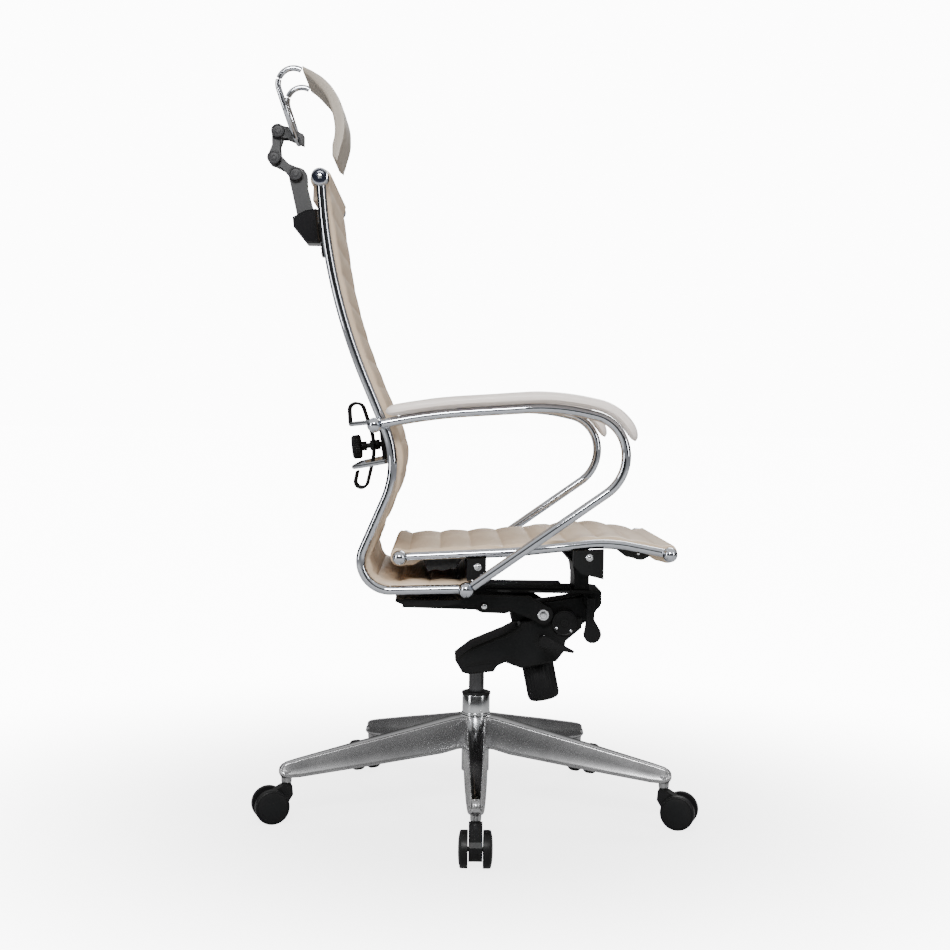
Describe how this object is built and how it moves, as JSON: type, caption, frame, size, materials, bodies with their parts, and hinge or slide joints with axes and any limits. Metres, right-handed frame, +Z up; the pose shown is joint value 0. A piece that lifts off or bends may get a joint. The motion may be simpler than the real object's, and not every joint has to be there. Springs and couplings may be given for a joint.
{
  "type": "swivel office chair",
  "caption": "High-back swivel chair with a bent chrome tube frame, channelled leather pads, hinged headrest, tilt mechanism, gas lift and a star base on casters.",
  "frame": {"origin": "on the floor under the middle of the bounding box, 2 mm behind and 30 mm to the sitter's right of the swivel axis's foot", "axes": "+X the way the sitter faces, +Y to the sitter's left, +Z up"},
  "size_m": [0.7826, 0.7484, 1.3116],
  "materials": {
    "polished_chrome": "mirror polished plate",
    "polished_aluminium": "polished die casting",
    "chromed_column": "dark satin plate",
    "black_steel": "satin powder coat",
    "black_plastic": "fine moulded texture",
    "gloss_black_plastic": "glossy",
    "grey_plastic": "matte",
    "caster_black": "satin nylon",
    "beige_leather": "smooth fine grain",
    "pale_leather": "smooth fine grain",
    "black_cloth": "woven backing"
  },
  "bodies": {
    "base": {"star_base": "polished_aluminium", "column_tube": "chromed_column", "column_bushing": "black_plastic"},
    "lift_rod": {"piston_rod": "polished_chrome"},
    "mechanism": {"gas_cylinder": "black_steel", "mechanism_housing": "black_steel", "tilt_shaft": "polished_chrome"},
    "back_frame": {"back_lever": "black_steel", "back_tube_right": "polished_chrome", "back_tube_left": "polished_chrome", "back_top_bar": "black_steel", "back_bottom_bar": "black_steel", "back_pad": "beige_leather", "arm_tube_right": "polished_chrome", "arm_tube_left": "polished_chrome", "arm_pad_right": "pale_leather", "arm_pad_left": "pale_leather", "headrest_rail": "polished_chrome", "lumbar_rod_upper": "polished_chrome", "lumbar_rod_lower": "polished_chrome", "lumbar_carrier": "black_steel"},
    "seat_carrier": {"seat_carrier": "black_steel"},
    "seat": {"seat_tube_right": "polished_chrome", "seat_tube_left": "polished_chrome", "seat_front_bar": "black_steel", "seat_rear_bar": "black_steel", "seat_pad": "beige_leather", "seat_underlay": "black_cloth", "seat_bracket_front": "black_steel", "seat_bracket_rear": "black_steel"},
    "height_lever": {"height_lever": "black_plastic"},
    "depth_paddle": {"depth_paddle": "black_plastic"},
    "tension_knob": {"tension_knob": "black_plastic"},
    "headrest_carriage": {"headrest_slider": "gloss_black_plastic", "headrest_stalk": "grey_plastic", "headrest_bolt_1": "grey_plastic"},
    "headrest_link_lower": {"headrest_link_lower": "grey_plastic", "headrest_bolt_2": "grey_plastic"},
    "headrest_link_upper": {"headrest_link_upper": "grey_plastic", "headrest_bolt_3": "grey_plastic"},
    "headrest": {"headrest_block": "grey_plastic", "headrest_tube": "polished_chrome", "headrest_pad": "pale_leather"},
    "lumbar_knob": {"lumbar_knob": "black_plastic"},
    "lumbar_plate": {"lumbar_plate": "black_plastic"},
    "caster_1": {"caster_fork_1": "black_plastic"},
    "caster_wheel_1a": {"caster_wheel_1a": "caster_black"},
    "caster_wheel_1b": {"caster_wheel_1b": "caster_black"},
    "caster_2": {"caster_fork_2": "black_plastic"},
    "caster_wheel_2a": {"caster_wheel_2a": "caster_black"},
    "caster_wheel_2b": {"caster_wheel_2b": "caster_black"},
    "caster_3": {"caster_fork_3": "black_plastic"},
    "caster_wheel_3a": {"caster_wheel_3a": "caster_black"},
    "caster_wheel_3b": {"caster_wheel_3b": "caster_black"},
    "caster_4": {"caster_fork_4": "black_plastic"},
    "caster_wheel_4a": {"caster_wheel_4a": "caster_black"},
    "caster_wheel_4b": {"caster_wheel_4b": "caster_black"},
    "caster_5": {"caster_fork_5": "black_plastic"},
    "caster_wheel_5a": {"caster_wheel_5a": "caster_black"},
    "caster_wheel_5b": {"caster_wheel_5b": "caster_black"}
  },
  "joints": [
    {"name": "seat_swivel", "type": "hinge", "parent": "base", "child": "lift_rod", "pos_m": [0.0018, 0.0301, 0.2], "axis": [0, 0, 1], "continuous": true},
    {"name": "gas_lift", "type": "slide", "parent": "lift_rod", "child": "mechanism", "axis": [0, 0, 1], "range_m": [0, 0.09]},
    {"name": "back_recline", "type": "hinge", "parent": "mechanism", "child": "back_frame", "pos_m": [0.1163, 0.0301, 0.3625], "axis": [0, -1, 0], "range_deg": [0, 18], "stiffness_Nm_per_rad": 80, "springref_deg": -45.84},
    {"name": "seat_tilt", "type": "hinge", "parent": "mechanism", "child": "seat_carrier", "pos_m": [0.2063, 0.0301, 0.3835], "axis": [0, -1, 0], "range_deg": [0, 10]},
    {"name": "seat_depth", "type": "slide", "parent": "seat_carrier", "child": "seat", "axis": [1, 0, 0], "range_m": [0, 0.05]},
    {"name": "height_lever_lift", "type": "hinge", "parent": "mechanism", "child": "height_lever", "pos_m": [0.1163, 0.0301, 0.3215], "axis": [0, -1, 0], "range_deg": [0, 12], "stiffness_Nm_per_rad": 0.3},
    {"name": "depth_paddle_pull", "type": "hinge", "parent": "seat_carrier", "child": "depth_paddle", "pos_m": [0.1988, 0.0301, 0.3885], "axis": [0, -1, 0], "range_deg": [0, 20], "stiffness_Nm_per_rad": 0.3},
    {"name": "tension_knob_turn", "type": "hinge", "parent": "mechanism", "child": "tension_knob", "pos_m": [0.1113, 0.0301, 0.2685], "axis": [0.206, 0, -0.9785], "range_deg": [-540, 540]},
    {"name": "headrest_height", "type": "slide", "parent": "back_frame", "child": "headrest_carriage", "axis": [-0.0958, 0, 0.9954], "range_m": [-0.012, 0.03]},
    {"name": "headrest_lower_pivot", "type": "hinge", "parent": "headrest_carriage", "child": "headrest_link_lower", "pos_m": [-0.3332, 0.0301, 1.135], "axis": [0, -1, 0], "range_deg": [0, 30]},
    {"name": "headrest_middle_pivot", "type": "hinge", "parent": "headrest_link_lower", "child": "headrest_link_upper", "pos_m": [-0.3717, 0.0301, 1.163], "axis": [0, -1, 0], "range_deg": [0, 35]},
    {"name": "headrest_upper_pivot", "type": "hinge", "parent": "headrest_link_upper", "child": "headrest", "pos_m": [-0.3652, 0.0301, 1.21], "axis": [0, -1, 0], "range_deg": [-3, 30]},
    {"name": "lumbar_knob_turn", "type": "hinge", "parent": "back_frame", "child": "lumbar_knob", "pos_m": [-0.2192, 0.0301, 0.6525], "axis": [0.9925, 0, 0.1219], "range_deg": [0, 675]},
    {"name": "lumbar_press", "type": "slide", "parent": "back_frame", "child": "lumbar_plate", "axis": [0.9925, 0, 0.1219], "range_m": [0, 0.0075]},
    {"name": "caster_swivel_1", "type": "hinge", "parent": "base", "child": "caster_1", "pos_m": [-0.00424, -0.31585, 0.08], "axis": [0, 0, 1], "continuous": true},
    {"name": "wheel_spin_1a", "type": "hinge", "parent": "caster_1", "child": "caster_wheel_1a", "pos_m": [-0.00473, -0.34384, 0.03], "axis": [-0.9998, 0.0175, 0], "continuous": true},
    {"name": "wheel_spin_1b", "type": "hinge", "parent": "caster_1", "child": "caster_wheel_1b", "pos_m": [-0.00473, -0.34384, 0.03], "axis": [-0.9998, 0.0175, 0], "continuous": true},
    {"name": "caster_swivel_2", "type": "hinge", "parent": "base", "child": "caster_2", "pos_m": [0.32895, -0.08255, 0.08], "axis": [0, 0, 1], "continuous": true},
    {"name": "wheel_spin_2a", "type": "hinge", "parent": "caster_2", "child": "caster_wheel_2a", "pos_m": [0.35542, -0.09166, 0.03], "axis": [-0.3256, -0.9455, 0], "continuous": true},
    {"name": "wheel_spin_2b", "type": "hinge", "parent": "caster_2", "child": "caster_wheel_2b", "pos_m": [0.35542, -0.09166, 0.03], "axis": [-0.3256, -0.9455, 0], "continuous": true},
    {"name": "caster_swivel_3", "type": "hinge", "parent": "base", "child": "caster_3", "pos_m": [0.21003, 0.30643, 0.08], "axis": [0, 0, 1], "continuous": true},
    {"name": "wheel_spin_3a", "type": "hinge", "parent": "caster_3", "child": "caster_wheel_3a", "pos_m": [0.22688, 0.32879, 0.03], "axis": [0.7986, -0.6018, 0], "continuous": true},
    {"name": "wheel_spin_3b", "type": "hinge", "parent": "caster_3", "child": "caster_wheel_3b", "pos_m": [0.22688, 0.32879, 0.03], "axis": [0.7986, -0.6018, 0], "continuous": true},
    {"name": "caster_swivel_4", "type": "hinge", "parent": "base", "child": "caster_4", "pos_m": [-0.19666, 0.31353, 0.08], "axis": [0, 0, 1], "continuous": true},
    {"name": "wheel_spin_4a", "type": "hinge", "parent": "caster_4", "child": "caster_wheel_4a", "pos_m": [-0.21272, 0.33646, 0.03], "axis": [0.8192, 0.5736, 0], "continuous": true},
    {"name": "wheel_spin_4b", "type": "hinge", "parent": "caster_4", "child": "caster_wheel_4b", "pos_m": [-0.21272, 0.33646, 0.03], "axis": [0.8192, 0.5736, 0], "continuous": true},
    {"name": "caster_swivel_5", "type": "hinge", "parent": "base", "child": "caster_5", "pos_m": [-0.32908, -0.07106, 0.08], "axis": [0, 0, 1], "continuous": true},
    {"name": "wheel_spin_5a", "type": "hinge", "parent": "caster_5", "child": "caster_wheel_5a", "pos_m": [-0.35586, -0.07925, 0.03], "axis": [-0.2924, 0.9563, 0], "continuous": true},
    {"name": "wheel_spin_5b", "type": "hinge", "parent": "caster_5", "child": "caster_wheel_5b", "pos_m": [-0.35586, -0.07925, 0.03], "axis": [-0.2924, 0.9563, 0], "continuous": true}
  ],
  "couplings": [
    {"joint": "seat_tilt", "follows": "back_recline", "ratio": 0.5417},
    {"joint": "lumbar_press", "follows": "lumbar_knob_turn", "m_per_rad": 0.00063662}
  ]
}
